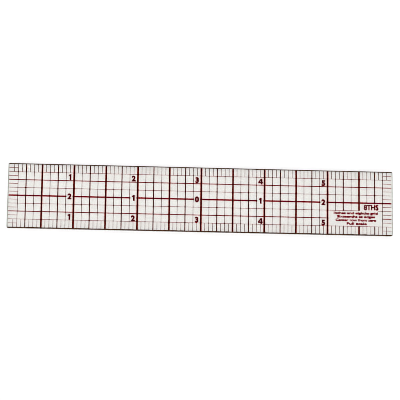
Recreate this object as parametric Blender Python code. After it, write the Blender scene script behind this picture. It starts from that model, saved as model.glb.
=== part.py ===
"""A clear six inch by one inch quilting ruler.

A rigid clear plate carries a printed graph on its underside, and a thin clear film seals
the print from below. The graph has a line every eighth of an inch, sixteenths along all
four edges, inch numerals above and below, and a scale along the middle that counts both
ways from zero.

The ruler lies on the XY plane with its length along X, its underside at Z = 0 and the
middle of its underside at the origin. Inches along the ruler are counted from its -X end,
and inches across it from its +Y edge. All lengths are in metres.
"""

import math

import bmesh
import bpy
from mathutils import Matrix, Vector

INCH = 0.0254
EIGHTH = 1 / 8
SIXTEENTH = 1 / 16

# The printed scale, and the clear margins that the sheet keeps round it.
SCALE_INCHES_LONG = 6
SCALE_INCHES_WIDE = 1
END_MARGIN = 0.0008
BACK_MARGIN = 0.00020
FRONT_MARGIN = 0.00054
SHEET_LENGTH = SCALE_INCHES_LONG * INCH + 2 * END_MARGIN
SHEET_WIDTH = SCALE_INCHES_WIDE * INCH + BACK_MARGIN + FRONT_MARGIN
SCALE_MIDDLE_Y = (FRONT_MARGIN - BACK_MARGIN) / 2
CORNER_RADIUS = 0.0006
CORNER_STEPS = 6

# Heights of the laminate, from the underside up.
FILM_THICKNESS = 0.00015
INK_THICKNESS = 0.00004
INK_CLEARANCE = 0.00002
PLATE_THICKNESS = 0.00118
INK_BOTTOM = FILM_THICKNESS + INK_CLEARANCE
PLATE_BOTTOM = INK_BOTTOM + INK_THICKNESS + INK_CLEARANCE
PLATE_TOP = PLATE_BOTTOM + PLATE_THICKNESS

# The sloping drawing edge along each long side of the plate.
BEVEL_WIDTH = 0.0030
EDGE_THICKNESS = 0.00085

# Widths of the printed lines, by the fraction of an inch that they mark. The lines across
# the ruler are printed heavier than the lines along it.
CROSS_WIDTHS = {"inch": 0.00078, "half": 0.00071, "quarter": 0.00042, "eighth": 0.00021, "tick": 0.00020}
LONG_WIDTHS = {"half": 0.00061, "quarter": 0.00035, "eighth": 0.00017, "tick": 0.00020}

# How far the lines run past the ends and sides of the scale.
END_BLEED = 0.0004
SIDE_BLEED = 0.0001

# The plain window that is left in the graph for the maker's notes, in inches.
NOTE_START = 5
NOTE_STEP = 5.5
NOTE_STEP_END = 5.8
NOTE_END = 5.875
NOTE_TOP = 0.5
NOTE_STEP_TOP = 0.625
NOTE_BOTTOM = 0.875

# Numerals: height of a figure, how far its middle stands before its inch line, and rows.
FIGURE_HEIGHT = 0.090 * INCH
FIGURE_SETBACK = 0.066
FIGURE_RESOLUTION = 6

# A figure of the built-in typeface is this much of its size tall, and is thickened all round.
TYPEFACE_FIGURE_SHARE = 0.69
STROKE_GROWTH = 0.00014

# The straight-sided figures, as shares of their height: a stem with a short flag, and a stem
# with a crossbar and a diagonal round a three-cornered opening.
ONE_OUTLINE = (
    (-0.04, 0.0), (0.22, 0.0), (0.22, 1.0), (0.02, 1.0), (-0.22, 0.84), (-0.22, 0.62), (-0.04, 0.72),
)
FOUR_OUTLINE = (
    (0.08, 0.0), (0.33, 0.0), (0.33, 0.2), (0.44, 0.2), (0.44, 0.4), (0.33, 0.4),
    (0.33, 1.0), (0.08, 1.0), (-0.36, 0.42), (-0.36, 0.2), (0.08, 0.2),
)
FOUR_OPENING = ((0.08, 0.4), (-0.12, 0.4), (0.08, 0.68))
STRAIGHT_FIGURES = {1: (ONE_OUTLINE,), 4: (FOUR_OUTLINE, FOUR_OPENING)}
UPPER_ROW = 0.192
MIDDLE_ROW = 0.5
LOWER_ROW = 0.824

# The middle line breaks round each of its figures, from one setback to the other.
BREAK_START = 0.112
BREAK_END = 0.019

# How far a cutter stands past what it cuts, and how near points are that are joined.
CUT_CLEARANCE = 0.001
WELD_DISTANCE = 0.000001


def clear_scene():
    for item in list(bpy.data.objects):
        bpy.data.objects.remove(item, do_unlink=True)


def make_collection(name):
    collection = bpy.data.collections.new(name)
    bpy.context.scene.collection.children.link(collection)
    return collection


def make_material(name, colour, roughness, transmission=0.0):
    material = bpy.data.materials.new(name)
    material.use_nodes = True
    shader = material.node_tree.nodes["Principled BSDF"]
    shader.inputs["Base Color"].default_value = (*colour, 1.0)
    shader.inputs["Roughness"].default_value = roughness
    shader.inputs["Metallic"].default_value = 0.0
    shader.inputs["Transmission Weight"].default_value = transmission
    return material


def add_object(name, data, collection, material=None):
    thing = bpy.data.objects.new(name, data)
    collection.objects.link(thing)
    if material:
        data.materials.append(material)
    return thing


def along(inches):
    """X of a place on the scale, in inches from the -X end."""
    return (inches - SCALE_INCHES_LONG / 2) * INCH


def across(inches):
    """Y of a place on the scale, in inches from the +Y edge."""
    return SCALE_MIDDLE_Y + (SCALE_INCHES_WIDE / 2 - inches) * INCH


def rounded_outline(length, width, radius):
    """Points round a rectangle whose corners are quarter circles."""
    points = []
    corners = ((1, 1, 0), (-1, 1, 1), (-1, -1, 2), (1, -1, 3))
    for side_x, side_y, quarter in corners:
        centre = Vector((side_x * (length / 2 - radius), side_y * (width / 2 - radius)))
        for step in range(CORNER_STEPS + 1):
            angle = (quarter + step / CORNER_STEPS) * math.pi / 2
            points.append(centre + radius * Vector((math.cos(angle), math.sin(angle))))
    return points


def outline_curve(name, rings, thickness):
    """A flat outline and any openings in it, as thick as is asked."""
    outline = bpy.data.curves.new(name, "CURVE")
    outline.dimensions = "2D"
    outline.fill_mode = "BOTH"
    outline.extrude = thickness / 2
    for points in rings:
        spline = outline.splines.new("POLY")
        spline.points.add(len(points) - 1)
        for place, (x, y) in zip(spline.points, points):
            place.co = (x, y, 0, 1)
        spline.use_cyclic_u = True
    return outline


def solid_from_curve(name, data, location, collection, material):
    """The closed mesh of a flat curve or a text, at its place."""
    drawn = add_object(name + "_outline", data, collection)
    drawn.location = location
    bpy.context.view_layer.update()
    evaluated = drawn.evaluated_get(bpy.context.evaluated_depsgraph_get())
    mesh = bpy.data.meshes.new_from_object(evaluated)
    mesh.name = name
    weld(mesh)
    solid = add_object(name, mesh, collection, material)
    solid.matrix_world = drawn.matrix_world
    bpy.data.objects.remove(drawn)
    return solid


def make_sheet(name, bottom, thickness, collection, material):
    """A flat sheet with the ruler's outline, as a closed mesh."""
    points = rounded_outline(SHEET_LENGTH, SHEET_WIDTH, CORNER_RADIUS)
    outline = outline_curve(name, [points], thickness)
    return solid_from_curve(name, outline, (0, 0, bottom + thickness / 2), collection, material)


def weld(mesh):
    """Join a converted curve's caps to its sides."""
    shape = bmesh.new()
    shape.from_mesh(mesh)
    bmesh.ops.remove_doubles(shape, verts=shape.verts, dist=WELD_DISTANCE)
    bmesh.ops.recalc_face_normals(shape, faces=shape.faces)
    shape.to_mesh(mesh)
    shape.free()


def cut(target, cutter):
    modifier = target.modifiers.new(cutter.name, "BOOLEAN")
    modifier.operation = "DIFFERENCE"
    modifier.solver = "EXACT"
    modifier.object = cutter


def make_guide(name, mesh, collection):
    """A helper shape that the other shapes are cut by or joined with."""
    guide = add_object(name, mesh, collection)
    guide.hide_render = True
    guide.display_type = "WIRE"
    return guide


def make_bevel_cutter(name, side, collection):
    """A block whose underside is the slope of one drawing edge."""
    slope = math.atan2(PLATE_THICKNESS - EDGE_THICKNESS, BEVEL_WIDTH)
    run = BEVEL_WIDTH / math.cos(slope)
    depth = PLATE_THICKNESS
    shape = bmesh.new()
    bmesh.ops.create_cube(shape, size=1.0)
    size = Vector((SHEET_LENGTH + 2 * CUT_CLEARANCE, run + 2 * CUT_CLEARANCE, depth))
    bmesh.ops.scale(shape, vec=size, verts=shape.verts)
    bmesh.ops.translate(shape, vec=(0, 0, depth / 2), verts=shape.verts)
    mesh = bpy.data.meshes.new(name)
    shape.to_mesh(mesh)
    shape.free()
    cutter = make_guide(name, mesh, collection)
    middle_of_slope = (PLATE_TOP + PLATE_BOTTOM + EDGE_THICKNESS) / 2
    cutter.location = (0, side * (SHEET_WIDTH - BEVEL_WIDTH) / 2, middle_of_slope)
    cutter.rotation_euler.x = -side * slope
    return cutter


def build_plate(parts, cutters):
    """The thick clear plate, with a sloping drawing edge along both long sides."""
    material = make_material("clear_plastic", (0.90, 0.93, 0.90), 0.05, 1.0)
    plate = make_sheet("clear_plate", PLATE_BOTTOM, PLATE_THICKNESS, parts, material)
    for side, name in ((1, "back_bevel_cutter"), (-1, "front_bevel_cutter")):
        cut(plate, make_bevel_cutter(name, side, cutters))


def build_film(parts):
    """The thin clear film that seals the print from below."""
    material = make_material("clear_film", (0.93, 0.95, 0.93), 0.12, 1.0)
    make_sheet("backing_film", 0.0, FILM_THICKNESS, parts, material)


def line_width(sixteenths, widths):
    """Width of the graph line that stands this many sixteenths from the end of its scale."""
    if sixteenths % 16 == 0:
        return widths["inch"]
    if sixteenths % 8 == 0:
        return widths["half"]
    if sixteenths % 4 == 0:
        return widths["quarter"]
    return widths["tick"] if sixteenths % 2 else widths["eighth"]


def cross_line_stretches(sixteenths):
    """Where the line across the ruler at this place is printed, in inches from the +Y edge."""
    place = sixteenths * SIXTEENTH
    if sixteenths % 2:
        return [(0, EIGHTH), (NOTE_BOTTOM, 1)]
    if NOTE_START < place <= NOTE_STEP:
        return [(0, NOTE_STEP_TOP), (NOTE_BOTTOM, 1)]
    if NOTE_STEP < place < NOTE_END:
        return [(0, NOTE_TOP), (NOTE_BOTTOM, 1)]
    return [(0, 1)]


def long_line_stretches(sixteenths):
    """Where the line along the ruler at this place is printed, in inches from the -X end."""
    place = sixteenths * SIXTEENTH
    last_eighth = SCALE_INCHES_LONG - EIGHTH
    if sixteenths % 2:
        return [(0, EIGHTH), (last_eighth, SCALE_INCHES_LONG)]
    if place == MIDDLE_ROW:
        ends = [0]
        for inch in range(1, SCALE_INCHES_LONG):
            ends += [inch - BREAK_START, inch - BREAK_END]
        ends.append(SCALE_INCHES_LONG)
        return list(zip(ends[::2], ends[1::2]))
    if place == NOTE_STEP_TOP:
        return [(0, NOTE_STEP), (NOTE_STEP_END, SCALE_INCHES_LONG)]
    if NOTE_STEP_TOP < place < NOTE_BOTTOM:
        return [(0, NOTE_START), (NOTE_END, SCALE_INCHES_LONG)]
    return [(0, SCALE_INCHES_LONG)]


def bled(start, end, limit, bleed):
    """A stretch in metres, run on past the scale where it reaches either end of it."""
    start_bleed = bleed if start == 0 else 0
    end_bleed = bleed if end == limit else 0
    return start * INCH - start_bleed, end * INCH + end_bleed


def add_bar(shape, low, high):
    """A box between two corners, on the XY plane."""
    middle = (Vector(low) + Vector(high)) / 2
    size = Vector(high) - Vector(low)
    place = Matrix.Translation((*middle, INK_BOTTOM + INK_THICKNESS / 2))
    stretch = Matrix.Diagonal((abs(size.x), abs(size.y), INK_THICKNESS, 1))
    bmesh.ops.create_cube(shape, size=1.0, matrix=place @ stretch)


def cross_lines():
    """Every line and tick that runs across the ruler."""
    shape = bmesh.new()
    for sixteenths in range(1, SCALE_INCHES_LONG * 16):
        half = line_width(sixteenths, CROSS_WIDTHS) / 2
        x = along(sixteenths * SIXTEENTH)
        for start, end in cross_line_stretches(sixteenths):
            near, far = bled(start, end, SCALE_INCHES_WIDE, SIDE_BLEED)
            add_bar(shape, (x - half, across(0) - near), (x + half, across(0) - far))
    return finish_mesh(shape, "cross_lines")


def long_lines():
    """Every line and tick that runs along the ruler."""
    shape = bmesh.new()
    for sixteenths in range(1, SCALE_INCHES_WIDE * 16):
        half = line_width(sixteenths, LONG_WIDTHS) / 2
        y = across(sixteenths * SIXTEENTH)
        for start, end in long_line_stretches(sixteenths):
            near, far = bled(start, end, SCALE_INCHES_LONG, END_BLEED)
            add_bar(shape, (along(0) + near, y - half), (along(0) + far, y + half))
    return finish_mesh(shape, "printed_grid")


def finish_mesh(shape, name):
    mesh = bpy.data.meshes.new(name)
    shape.to_mesh(mesh)
    shape.free()
    return mesh


def build_grid(parts, cutters, ink):
    """The printed graph: one net of ink, with its long and cross lines joined."""
    grid = add_object("printed_grid", long_lines(), parts, ink)
    joined = make_guide("cross_lines", cross_lines(), cutters)
    modifier = grid.modifiers.new("cross_lines", "BOOLEAN")
    modifier.operation = "UNION"
    modifier.solver = "EXACT"
    modifier.object = joined


def round_figure(digit):
    """A figure of the built-in typeface, thickened to the weight of the print."""
    text = bpy.data.curves.new(f"figure_{digit}", "FONT")
    text.body = str(digit)
    text.align_x = "CENTER"
    text.align_y = "BOTTOM_BASELINE"
    text.size = (FIGURE_HEIGHT - 2 * STROKE_GROWTH) / TYPEFACE_FIGURE_SHARE
    text.resolution_u = FIGURE_RESOLUTION
    text.offset = STROKE_GROWTH
    text.extrude = INK_THICKNESS / 2
    return text


def straight_figure(digit):
    """A figure drawn with straight lines."""
    rings = []
    for ring in STRAIGHT_FIGURES[digit]:
        rings.append([(x * FIGURE_HEIGHT, y * FIGURE_HEIGHT) for x, y in ring])
    return outline_curve(f"figure_{digit}", rings, INK_THICKNESS)


def make_figure(name, digit, inch, row, parts, ink):
    """One printed figure, standing just before its inch line."""
    straight = digit in STRAIGHT_FIGURES
    data = straight_figure(digit) if straight else round_figure(digit)
    foot = 0 if straight else STROKE_GROWTH
    x = along(inch - FIGURE_SETBACK)
    y = across(row) - FIGURE_HEIGHT / 2 + foot
    return solid_from_curve(name, data, (x, y, INK_BOTTOM + INK_THICKNESS / 2), parts, ink)


def build_numerals(parts, ink):
    """Inches counted from the -X end in the outer rows, and out from the middle between them."""
    middle = SCALE_INCHES_LONG // 2
    for inch in range(1, SCALE_INCHES_LONG):
        make_figure(f"numeral_upper_{inch}", inch, inch, UPPER_ROW, parts, ink)
        make_figure(f"numeral_lower_{inch}", inch, inch, LOWER_ROW, parts, ink)
        count = abs(inch - middle)
        side = {-1: "left", 0: "middle", 1: "right"}[(inch > middle) - (inch < middle)]
        make_figure(f"numeral_center_{side}_{count}", count, inch, MIDDLE_ROW, parts, ink)


def main():
    clear_scene()
    parts = make_collection("quilting_ruler")
    cutters = make_collection("cutters")
    ink = make_material("crimson_ink", (0.20, 0.005, 0.012), 0.5)
    build_plate(parts, cutters)
    build_film(parts)
    build_grid(parts, cutters, ink)
    build_numerals(parts, ink)


main()
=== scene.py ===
"""Looks of the clear quilting ruler: clear plastic, ink in two passes, a pale floor and soft light."""

import math

import bmesh
import bpy
from mathutils import Matrix, Vector, noise


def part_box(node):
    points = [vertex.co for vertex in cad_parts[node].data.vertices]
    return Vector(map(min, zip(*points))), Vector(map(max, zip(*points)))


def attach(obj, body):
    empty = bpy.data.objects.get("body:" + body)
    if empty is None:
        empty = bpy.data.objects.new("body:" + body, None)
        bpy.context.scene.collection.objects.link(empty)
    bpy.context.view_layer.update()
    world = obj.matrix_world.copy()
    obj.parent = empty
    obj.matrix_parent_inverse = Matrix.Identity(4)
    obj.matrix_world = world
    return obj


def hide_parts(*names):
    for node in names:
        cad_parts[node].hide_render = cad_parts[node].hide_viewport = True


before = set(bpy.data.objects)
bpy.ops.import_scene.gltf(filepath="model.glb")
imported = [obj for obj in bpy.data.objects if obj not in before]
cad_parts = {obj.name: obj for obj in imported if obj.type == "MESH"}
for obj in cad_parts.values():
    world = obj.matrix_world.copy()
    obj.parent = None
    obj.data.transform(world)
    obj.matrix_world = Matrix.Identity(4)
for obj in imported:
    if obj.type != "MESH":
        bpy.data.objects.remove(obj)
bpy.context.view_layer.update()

BODY = "root"
INCH = 0.0254
EIGHTH = 1 / 8
SIXTEENTH = 1 / 16
INCHES_LONG = 6
INCHES_WIDE = 1

# The printed net's box gives the middle of the scale, the heights between which its four passes of ink
# lie, and how far its lines run past the scale.
GRID_LOW, GRID_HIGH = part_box("printed_grid")
SCALE_MIDDLE = (GRID_LOW + GRID_HIGH) / 2
INK_PASS = (GRID_HIGH.z - GRID_LOW.z) / 4
END_BLEED = (GRID_HIGH.x - GRID_LOW.x - INCHES_LONG * INCH) / 2
SIDE_BLEED = (GRID_HIGH.y - GRID_LOW.y - INCHES_WIDE * INCH) / 2

# Printed line widths, by the fraction of an inch that they mark. Each line is printed twice: a red pass
# of its whole width, and over it a dark pass of the share of the width that is given here.
CROSS_WIDTHS = {"inch": 0.00078, "half": 0.00071, "quarter": 0.00042, "eighth": 0.00021, "tick": 0.00020}
LONG_WIDTHS = {"half": 0.00061, "quarter": 0.00035, "eighth": 0.00017, "tick": 0.00020}
CROSS_SHARES = {"inch": 0.74, "half": 0.78, "quarter": 0.88, "eighth": 0.88, "tick": 0.88}
LONG_SHARES = {"half": 0.74, "quarter": 0.76, "eighth": 0.76, "tick": 0.76}

# The plain window in the graph, in inches.
NOTE_START = 5
NOTE_STEP = 5.5
NOTE_STEP_END = 5.8
NOTE_END = 5.875
NOTE_TOP = 0.5
NOTE_STEP_TOP = 0.625
NOTE_BOTTOM = 0.875

# The middle line breaks round each of its figures, from one of these to the other before each inch line.
MIDDLE_ROW = 0.5
BREAK_START = 0.112
BREAK_END = 0.019

# The notes printed in the window: words and ink, then in inches the middle along the ruler, the letters'
# top across it, the width of the words and the height of a capital.
NOTES = (
    ("8THS", "figure", 5.693, 0.569, 0.225, 0.078),
    ("Inches and eighths grid", "long", 5.447, 0.663, 0.695, 0.034),
    ("Sixteenths at edges", "long", 5.452, 0.719, 0.600, 0.034),
    ("Center row from zero", "long", 5.450, 0.775, 0.640, 0.034),
    ("Full scale", "long", 5.462, 0.831, 0.315, 0.034),
)
# How far the letters spread all round, as a share of their height: in the red pass and in the dark one.
LETTER_SPREADS = {"figure": (0.090, 0.055), "long": (0.145, 0.084)}
# A capital of the built-in typeface is this much of its size tall.
TYPEFACE_CAPITAL_SHARE = 0.69
LETTER_RESOLUTION = 3
# How far the red pass of a figure spreads past it, where that pass starts and ends within the lowest pass
# of the lines, and how near points are that are joined.
FIGURE_SPREAD = 0.00007
FIGURE_BOTTOM = 0.25
FIGURE_TOP = 0.75
WELD_DISTANCE = 0.0000001

# The clear body's corners, sloping drawing edges and softened arrises.
CORNER_RADIUS = 0.0006
CORNER_STEPS = 4
BEVEL_WIDTH = 0.0030
EDGE_THICKNESS = 0.00085
SOFT_WIDTH = 0.00008
SOFT_SEGMENTS = 2
SHARP_ANGLE = math.radians(25)

# Painted shade along the plate's edges: dark strips just inside its outline, standing in for the shade
# that refraction gathers at the edges of clear plastic. How far in they lie, how tall they are, how wide
# they look from above along each side, counted round from the +X end, and how far their inner rims
# wander, as a share of the width.
EDGE_INSET = 0.00003
EDGE_HEIGHT = 0.00066
EDGE_WIDTHS = {"right": 0.00022, "back": 0.00030, "left": 0.00036, "front": 0.00047}
EDGE_SHADE_WANDER = 0.3
EDGE_PITCH = 600.0
EDGE_STEP = 0.0015

# The studio: its floor, its round lamps with their places and powers, and its brightness by the height
# looked at, from 0 at the horizon to 1 straight up: dim low down, bright halfway and dark overhead.
FLOOR_SIZE = 4.0
FLOOR_DROP = 0.0002
LAMP_SIZE = 0.9
LAMPS = {"key_light": ((-0.8, 0.7, 0.9), 11.0), "fill_light": ((0.9, -0.6, 0.7), 6.3)}
WORLD_SHADES = ((0.35, 0.35), (0.60, 1.0), (0.78, 1.0), (0.92, 0.02))
WORLD_STRENGTH = 1.12

# The camera, nearly straight above the ruler. Its turns are in degrees, and its lens in millimetres.
CAMERA_PLACE = (-0.03408, -0.11116, 0.6564)
CAMERA_TURNS = (9.559, -3.073, 0.811)
CAMERA_LENS = 150.0
SENSOR_WIDTH = 36.0
CLIP_START = 0.01
PIXEL_FILTER_WIDTH = 0.8

# Ragged edges of the print: a point at each step along a line, which wanders by a share of its width.
RAGGED_STEP = 0.0008
RAGGED_SHARE = 0.10
RAGGED_PITCH = 1800.0
# How far the ink gathers along and beside a line where another line crosses it.
GATHER_RUN = 0.00022
GATHER_SPREAD = 0.00016


# Materials

def new_material(name):
    material = bpy.data.materials.new(name)
    material.use_nodes = True
    nodes = material.node_tree.nodes
    return material, nodes, material.node_tree.links, nodes["Principled BSDF"]


def add_noise(nodes, links, scale, detail, stretch=(1, 1, 1)):
    """Noise in the object's own space, drawn out along each axis by a stretch."""
    place = nodes.new("ShaderNodeTexCoord")
    mapping = nodes.new("ShaderNodeMapping")
    mapping.inputs["Scale"].default_value = stretch
    texture = nodes.new("ShaderNodeTexNoise")
    texture.inputs["Scale"].default_value = scale
    texture.inputs["Detail"].default_value = detail
    links.new(place.outputs["Object"], mapping.inputs["Vector"])
    links.new(mapping.outputs["Vector"], texture.inputs["Vector"])
    return texture.outputs["Fac"]


def add_ramp(nodes, links, source, low, high, at_low, at_high):
    """A grey number that goes from at_low to at_high while source goes from low to high."""
    spread = nodes.new("ShaderNodeMapRange")
    spread.inputs["From Min"].default_value = low
    spread.inputs["From Max"].default_value = high
    spread.inputs["To Min"].default_value = at_low
    spread.inputs["To Max"].default_value = at_high
    links.new(source, spread.inputs["Value"])
    return spread.outputs["Result"]


def mix_base_colour(nodes, links, shader, factor, colour, other_colour):
    """Colour a shader with one colour where factor is 0 and the other where it is 1."""
    mix = nodes.new("ShaderNodeMix")
    mix.data_type = "RGBA"
    mix.inputs["A"].default_value = (*colour, 1)
    mix.inputs["B"].default_value = (*other_colour, 1)
    links.new(factor, mix.inputs["Factor"])
    links.new(mix.outputs["Result"], shader.inputs["Base Color"])


def ink_material(name, colour, dense_colour):
    """Screen printed ink, a little denser here and there."""
    material, nodes, links, shader = new_material(name)
    patches = add_noise(nodes, links, scale=900.0, detail=3.0)
    density = add_ramp(nodes, links, patches, low=0.35, high=0.65, at_low=0.0, at_high=1.0)
    mix_base_colour(nodes, links, shader, density, colour, dense_colour)
    shader.inputs["Roughness"].default_value = 0.55
    shader.inputs["Specular IOR Level"].default_value = 0.03
    return material


def clear_material(name, colour, roughness, scratch):
    """Clear plastic with a tint and fine wear that only shows in its gloss. The tint is partly the
    plastic's own and partly painted shadow.
    """
    material, nodes, links, shader = new_material(name)
    shader.inputs["Base Color"].default_value = (*colour, 1)
    shader.inputs["Transmission Weight"].default_value = 1.0
    shader.inputs["IOR"].default_value = 1.49
    scratches = add_noise(nodes, links, scale=260.0, detail=6.0, stretch=(0.12, 3.0, 1.0))
    uneven = add_ramp(
        nodes, links, scratches, low=0.62, high=0.72, at_low=roughness, at_high=roughness + scratch)
    links.new(uneven, shader.inputs["Roughness"])
    return material


def edge_shade_material(name, colour, light_colour):
    """Painted shade for the sheet's edges: a flat colour for the shade that gathers inside the plastic
    there.
    """
    material, nodes, links, shader = new_material(name)
    streaks = add_noise(nodes, links, scale=700.0, detail=4.0, stretch=(1, 1, 0.3))
    paleness = add_ramp(nodes, links, streaks, low=0.40, high=0.72, at_low=0.0, at_high=1.0)
    mix_base_colour(nodes, links, shader, paleness, colour, light_colour)
    shader.inputs["Roughness"].default_value = 0.45
    shader.inputs["Specular IOR Level"].default_value = 0.05
    return material


# The dark inks of the lines across, the lines along and the figures, and the red inks under them.
INKS = {
    "cross": ink_material("dark_maroon_ink", (0.025, 0.0009, 0.0011), (0.015, 0.0006, 0.0008)),
    "long": ink_material("crimson_ink", (0.105, 0.0009, 0.0095), (0.072, 0.0006, 0.0070)),
    "figure": ink_material("maroon_ink", (0.046, 0.0008, 0.0030), (0.032, 0.0006, 0.0022)),
    "cross_red": ink_material("thin_orange_red_ink", (0.56, 0.040, 0.012), (0.46, 0.028, 0.009)),
    "long_red": ink_material("thin_crimson_ink", (0.62, 0.012, 0.018), (0.52, 0.008, 0.012)),
}
# Painted edge shade: dark along the sides and paler at the ends.
EDGE_SHADES = {
    "sides": edge_shade_material("painted_side_edge_shade", (0.044, 0.018, 0.008), (0.090, 0.045, 0.022)),
    "ends": edge_shade_material("painted_end_edge_shade", (0.33, 0.34, 0.31), (0.46, 0.47, 0.44)),
}
# The tint is darker than the plastic's own: it is partly painted shadow, for the shadow on the floor that
# the sheet doesn't cast.
CLEAR_PLASTIC = clear_material("clear_plastic", (0.776, 0.781, 0.761), roughness=0.02, scratch=0.05)


# The printed lines

def along(inches):
    """X of a place on the scale, in inches from the -X end."""
    return SCALE_MIDDLE.x + (inches - INCHES_LONG / 2) * INCH


def across(inches):
    """Y of a place on the scale, in inches from the +Y edge."""
    return SCALE_MIDDLE.y + (INCHES_WIDE / 2 - inches) * INCH


def line_rank(sixteenths):
    """The fraction of an inch that the line at this place marks."""
    if sixteenths % 16 == 0:
        return "inch"
    if sixteenths % 8 == 0:
        return "half"
    if sixteenths % 4 == 0:
        return "quarter"
    return "tick" if sixteenths % 2 else "eighth"


def pass_width(sixteenths, level, widths, shares):
    """How wide the line at this place is printed: in red at an even level, in dark ink at an odd one."""
    rank = line_rank(sixteenths)
    return widths[rank] * (shares[rank] if level % 2 else 1)


def cross_line_stretches(sixteenths):
    """Where the line across the ruler at this place is printed, in inches from the +Y edge."""
    place = sixteenths * SIXTEENTH
    if sixteenths % 2:
        return [(0, EIGHTH), (NOTE_BOTTOM, 1)]
    if NOTE_START < place <= NOTE_STEP:
        return [(0, NOTE_STEP_TOP), (NOTE_BOTTOM, 1)]
    if NOTE_STEP < place < NOTE_END:
        return [(0, NOTE_TOP), (NOTE_BOTTOM, 1)]
    return [(0, 1)]


def long_line_stretches(sixteenths):
    """Where the line along the ruler at this place is printed, in inches from the -X end."""
    place = sixteenths * SIXTEENTH
    if sixteenths % 2:
        return [(0, EIGHTH), (INCHES_LONG - EIGHTH, INCHES_LONG)]
    if place == MIDDLE_ROW:
        ends = [0]
        for inch in range(1, INCHES_LONG):
            ends += [inch - BREAK_START, inch - BREAK_END]
        ends.append(INCHES_LONG)
        return list(zip(ends[::2], ends[1::2]))
    if place == NOTE_STEP_TOP:
        return [(0, NOTE_STEP), (NOTE_STEP_END, INCHES_LONG)]
    if NOTE_STEP_TOP < place < NOTE_BOTTOM:
        return [(0, NOTE_START), (NOTE_END, INCHES_LONG)]
    return [(0, INCHES_LONG)]


def bled(start, end, limit, bleed):
    """A stretch in metres, run on past the scale where it reaches either end of it."""
    start_bleed = bleed if start == 0 else 0
    end_bleed = bleed if end == limit else 0
    return start * INCH - start_bleed, end * INCH + end_bleed


def eighths_from(near, limit):
    """How far along a line that starts this near to the scale's end each line at an eighth crosses it."""
    return [eighth * EIGHTH * INCH - near for eighth in range(1, round(limit / EIGHTH))]


def ragged(point, seed):
    """A small signed share by which the ink spreads or draws in here."""
    return RAGGED_SHARE * noise.noise(Vector((point.x, point.y, seed)) * RAGGED_PITCH)


def add_line(shape, start, end, width, crossings, bottom, top, seed):
    """A printed line from start to end, a little ragged, with more ink where others cross it."""
    run = end - start
    side = Vector((-run.y, run.x)).normalized()
    steps = max(2, round(run.length / RAGGED_STEP))
    widths = {run.length * step / steps: width for step in range(steps + 1)}
    for crossing in crossings:
        if GATHER_RUN < crossing < run.length - GATHER_RUN:
            for place in [place for place in widths if abs(place - crossing) <= GATHER_RUN]:
                del widths[place]
            widths[crossing - GATHER_RUN] = width
            widths[crossing + GATHER_RUN] = width
            widths[crossing] = width + 2 * GATHER_SPREAD
    lefts, rights = [], []
    for place, wide in sorted(widths.items()):
        middle = start + run * place / run.length
        for edge, points in ((side, lefts), (-side, rights)):
            points.append(middle + edge * wide / 2 * (1 + ragged(middle + edge * width, seed)))
    add_ribbon(shape, lefts, rights, bottom, top)


def add_ribbon(shape, lefts, rights, bottom, top):
    """A closed flat band between two rows of points."""
    rings = []
    for left, right in zip(lefts, rights):
        corners = ((left, bottom), (right, bottom), (right, top), (left, top))
        rings.append([shape.verts.new((*place, height)) for place, height in corners])
    for ring, following in zip(rings, rings[1:]):
        for corner in range(4):
            after = (corner + 1) % 4
            shape.faces.new((ring[corner], ring[after], following[after], following[corner]))
    shape.faces.new(reversed(rings[0]))
    shape.faces.new(rings[-1])


def finish_piece(shape, name, material):
    """A finished shape as one piece of the ruler, which throws no shadow on the white floor."""
    bmesh.ops.recalc_face_normals(shape, faces=shape.faces)
    mesh = bpy.data.meshes.new(name)
    shape.to_mesh(mesh)
    shape.free()
    mesh.materials.append(material)
    piece = bpy.data.objects.new(name, mesh)
    bpy.context.scene.collection.objects.link(piece)
    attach(piece, BODY)
    piece.visible_shadow = False
    return piece


def print_cross_lines(name, ink, level):
    """One pass of ink over every line and tick across the ruler."""
    shape = bmesh.new()
    bottom = GRID_LOW.z + level * INK_PASS
    for sixteenths in range(1, round(INCHES_LONG / SIXTEENTH)):
        x = along(sixteenths * SIXTEENTH)
        width = pass_width(sixteenths, level, CROSS_WIDTHS, CROSS_SHARES)
        for start, end in cross_line_stretches(sixteenths):
            near, far = bled(start, end, INCHES_WIDE, SIDE_BLEED)
            low, high = Vector((x, across(0) - near)), Vector((x, across(0) - far))
            crossings = eighths_from(near, INCHES_WIDE)
            add_line(shape, low, high, width, crossings, bottom, bottom + INK_PASS, sixteenths)
    piece = finish_piece(shape, name, INKS[ink])
    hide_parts("printed_grid")


def print_long_lines(name, ink, level):
    """One pass of ink over every line and tick along the ruler."""
    shape = bmesh.new()
    bottom = GRID_LOW.z + level * INK_PASS
    for sixteenths in range(1, round(INCHES_WIDE / SIXTEENTH)):
        y = across(sixteenths * SIXTEENTH)
        width = pass_width(sixteenths, level, LONG_WIDTHS, LONG_SHARES)
        for start, end in long_line_stretches(sixteenths):
            near, far = bled(start, end, INCHES_LONG, END_BLEED)
            low, high = Vector((along(0) + near, y)), Vector((along(0) + far, y))
            crossings = eighths_from(near, INCHES_LONG)
            add_line(shape, low, high, width, crossings, bottom, bottom + INK_PASS, -sixteenths)
    piece = finish_piece(shape, name, INKS[ink])
    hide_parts("printed_grid")


def letter_mesh(words, width, height):
    """Words in the built-in typeface, as wide and as tall as is asked, in inches."""
    text = bpy.data.curves.new(words, "FONT")
    text.body = words
    text.align_x = "CENTER"
    text.align_y = "BOTTOM_BASELINE"
    text.size = height * INCH / TYPEFACE_CAPITAL_SHARE
    text.extrude = INK_PASS / 2
    text.resolution_u = LETTER_RESOLUTION
    drawn = bpy.data.objects.new(text.name, text)
    bpy.context.scene.collection.objects.link(drawn)
    bpy.context.view_layer.update()
    squeeze = width * INCH / drawn.dimensions.x
    mesh = bpy.data.meshes.new_from_object(drawn.evaluated_get(bpy.context.evaluated_depsgraph_get()))
    bpy.data.objects.remove(drawn)
    mesh.transform(Matrix.Diagonal((squeeze, 1, 1, 1)))
    return mesh


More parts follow.
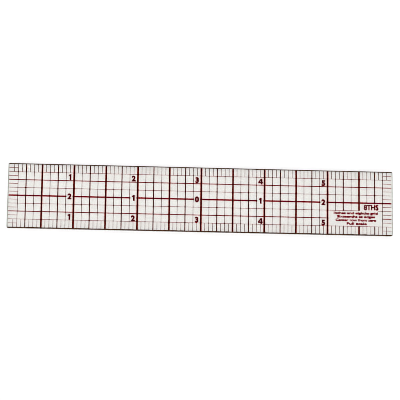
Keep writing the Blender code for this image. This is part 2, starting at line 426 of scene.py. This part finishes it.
def push_out(shape, spread):
    """Weld the caps of letters or figures to their sides, and push the sides out all round."""
    bmesh.ops.remove_doubles(shape, verts=shape.verts, dist=WELD_DISTANCE)
    bmesh.ops.recalc_face_normals(shape, faces=shape.faces)
    shape.normal_update()
    outward = [Vector((vert.normal.x, vert.normal.y, 0)).normalized() for vert in shape.verts]
    for vert, push in zip(shape.verts, outward):
        vert.co += push * spread


def print_notes():
    """The small lines of print in the window, each a red pass with a dark pass over it."""
    for number, (words, ink, inch, row, width, height) in enumerate(NOTES, start=1):
        for level, spread in enumerate(LETTER_SPREADS[ink]):
            shape = bmesh.new()
            shape.from_mesh(letter_mesh(words, width, height))
            push_out(shape, spread * height * INCH)
            middle = GRID_LOW.z + level * INK_PASS + INK_PASS / 2
            place = Matrix.Translation((along(inch), across(row + height / 2), middle))
            bmesh.ops.transform(shape, matrix=place, verts=shape.verts)
            name = f"printed_note_{number}" if level else f"printed_note_{number}_underprint"
            finish_piece(shape, name, INKS[ink if level else "long_red"])


def finish_figures():
    """The frame's figures keep their shapes and take dark ink, over a red pass that spreads further."""
    figures = {name: node for name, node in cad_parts.items() if name.startswith("numeral_")}
    for name, node in figures.items():
        node.data.materials.clear()
        node.data.materials.append(INKS["figure"])
        node.visible_shadow = False
        underprint_figure(name, node)


def underprint_figure(name, node):
    """The red pass of a figure: its own shape, pushed out all round and much thinner."""
    shape = bmesh.new()
    shape.from_mesh(node.data)
    push_out(shape, FIGURE_SPREAD)
    for vert in shape.verts:
        vert.co.z = GRID_LOW.z + INK_PASS * (FIGURE_TOP if vert.co.z > SCALE_MIDDLE.z else FIGURE_BOTTOM)
    finish_piece(shape, f"{name}_underprint", INKS["long_red"])


# The clear body and the painted shade along its edges

def side_points(low, high, radius, side, run):
    """Points along one side of a rounded rectangle, from one corner's middle to the next one's."""
    corners = (
        (high.x, low.y, -1, 1), (high.x, high.y, -1, -1), (low.x, high.y, 1, -1), (low.x, low.y, 1, 1),
    )
    points = []
    for corner, first in ((side, -1), (side + 1, 0)):
        x, y, inward_x, inward_y = corners[corner % 4]
        centre = Vector((x + inward_x * radius, y + inward_y * radius))
        for step in range(CORNER_STEPS + 1):
            angle = (2 * side + first + step / CORNER_STEPS) * math.pi / 4
            points.append(centre + radius * Vector((math.cos(angle), math.sin(angle))))
    start, end = points[CORNER_STEPS], points[CORNER_STEPS + 1]
    steps = round((end - start).length / run)
    between = [start.lerp(end, step / steps) for step in range(1, steps)]
    return points[:CORNER_STEPS + 1] + between + points[CORNER_STEPS + 1:]


def make_edge_shades():
    """Painted edge shade in four strips just inside the plate's outline, dark along the sides and pale at
    the ends.
    """
    plate_low, plate_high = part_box("clear_plate")
    inset = Vector((EDGE_INSET, EDGE_INSET, 0))
    low, high = plate_low + inset, plate_high - inset
    inner_low = low + Vector((EDGE_WIDTHS["left"], EDGE_WIDTHS["front"], 0))
    inner_high = high - Vector((EDGE_WIDTHS["right"], EDGE_WIDTHS["back"], 0))
    bottom = plate_low.z + EDGE_INSET
    for side, name in enumerate(EDGE_WIDTHS):
        outer = side_points(low, high, CORNER_RADIUS - EDGE_INSET, side, EDGE_STEP)
        inner = side_points(inner_low, inner_high, CORNER_RADIUS / 2, side, EDGE_STEP)
        # The inner rim of the painted edge shade wanders a little along each side.
        uneven = []
        for near, far in zip(outer, inner):
            share = EDGE_SHADE_WANDER * noise.noise(Vector((*near, side)) * EDGE_PITCH)
            uneven.append(far + (far - near) * share)
        shape = bmesh.new()
        add_ribbon(shape, outer, uneven, bottom, bottom + EDGE_HEIGHT)
        material = EDGE_SHADES["ends" if side % 2 == 0 else "sides"]
        finish_piece(shape, f"painted_edge_shade_{name}", material)


def make_clear_body():
    """Plate and film as one clear body, since the print and the film are bonded to the plate."""
    low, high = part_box("backing_film")[0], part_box("clear_plate")[1]
    shape = bmesh.new()
    outline = []
    for side in range(len(EDGE_WIDTHS)):
        outline += side_points(low, high, CORNER_RADIUS, side, high.x - low.x)[:-1]
    floor_ring = [shape.verts.new((*place, low.z)) for place in outline]
    top_ring = [shape.verts.new((*place, high.z)) for place in outline]
    shape.faces.new(reversed(floor_ring))
    shape.faces.new(top_ring)
    for corner in range(len(outline)):
        after = (corner + 1) % len(outline)
        shape.faces.new((floor_ring[corner], floor_ring[after], top_ring[after], top_ring[corner]))
    edge_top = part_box("clear_plate")[0].z + EDGE_THICKNESS
    for side, y in ((1, high.y), (-1, low.y)):
        bmesh.ops.bisect_plane(
            shape, geom=shape.verts[:] + shape.edges[:] + shape.faces[:], plane_co=(0, y, edge_top),
            plane_no=(0, side * (high.z - edge_top), BEVEL_WIDTH), clear_outer=True)
        bmesh.ops.holes_fill(shape, edges=[edge for edge in shape.edges if edge.is_boundary])
    sharp = [edge for edge in shape.edges if edge.calc_face_angle() > SHARP_ANGLE]
    bmesh.ops.bevel(
        shape, geom=sharp, offset=SOFT_WIDTH, segments=SOFT_SEGMENTS, profile=0.5, affect="EDGES",
        clamp_overlap=True)
    body = finish_piece(shape, "clear_body", CLEAR_PLASTIC)
    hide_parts("clear_plate", "backing_film")


# Floor, light and camera

def make_floor():
    bpy.ops.mesh.primitive_plane_add(size=FLOOR_SIZE, location=(0, 0, -FLOOR_DROP))
    floor = bpy.context.object
    floor.name = "floor"
    material, _, _, shader = new_material("pale_floor")
    shader.inputs["Base Color"].default_value = (0.9, 0.9, 0.9, 1)
    shader.inputs["Roughness"].default_value = 0.9
    shader.inputs["Specular IOR Level"].default_value = 0.1
    floor.data.materials.append(material)


def make_lamp(name, place, power):
    """A round soft lamp turned to the ruler, and not mirrored in its gloss."""
    light = bpy.data.lights.new(name, "AREA")
    light.shape = "DISK"
    light.size = LAMP_SIZE
    light.energy = power
    lamp = bpy.data.objects.new(name, light)
    lamp.location = place
    lamp.rotation_mode = "QUATERNION"
    lamp.rotation_quaternion = (-Vector(place)).to_track_quat("-Z", "Y")
    lamp.visible_glossy = False
    bpy.context.scene.collection.objects.link(lamp)


def make_world():
    world = bpy.data.worlds.new("studio")
    bpy.context.scene.world = world
    world.use_nodes = True
    nodes, links = world.node_tree.nodes, world.node_tree.links
    place = nodes.new("ShaderNodeTexCoord")
    split = nodes.new("ShaderNodeSeparateXYZ")
    ramp = nodes.new("ShaderNodeValToRGB")
    links.new(place.outputs["Generated"], split.inputs["Vector"])
    links.new(split.outputs["Z"], ramp.inputs["Fac"])
    links.new(ramp.outputs["Color"], nodes["Background"].inputs["Color"])
    shades = ramp.color_ramp.elements
    for _ in range(len(WORLD_SHADES) - len(shades)):
        shades.new(1.0)
    for shade, (height, grey) in zip(shades, WORLD_SHADES):
        shade.position = height
        shade.color = (grey, grey, grey, 1)
    nodes["Background"].inputs["Strength"].default_value = WORLD_STRENGTH


def make_camera():
    camera = bpy.data.objects.new("camera", bpy.data.cameras.new("camera"))
    camera.data.lens = CAMERA_LENS
    camera.data.sensor_width = SENSOR_WIDTH
    camera.location = CAMERA_PLACE
    camera.rotation_euler = [math.radians(turn) for turn in CAMERA_TURNS]
    camera.data.clip_start = CLIP_START
    bpy.context.scene.collection.objects.link(camera)
    bpy.context.scene.camera = camera


print_long_lines("printed_long_underprint", "long_red", 0)
print_long_lines("printed_long_lines", "long", 1)
print_cross_lines("printed_cross_underprint", "cross_red", 2)
print_cross_lines("printed_cross_lines", "cross", 3)
print_notes()
finish_figures()
make_clear_body()
make_edge_shades()
make_floor()
for lamp_name, (lamp_place, lamp_power) in LAMPS.items():
    make_lamp(lamp_name, lamp_place, lamp_power)
make_world()
make_camera()
bpy.context.scene.view_settings.view_transform = "Standard"
bpy.context.scene.cycles.filter_width = PIXEL_FILTER_WIDTH
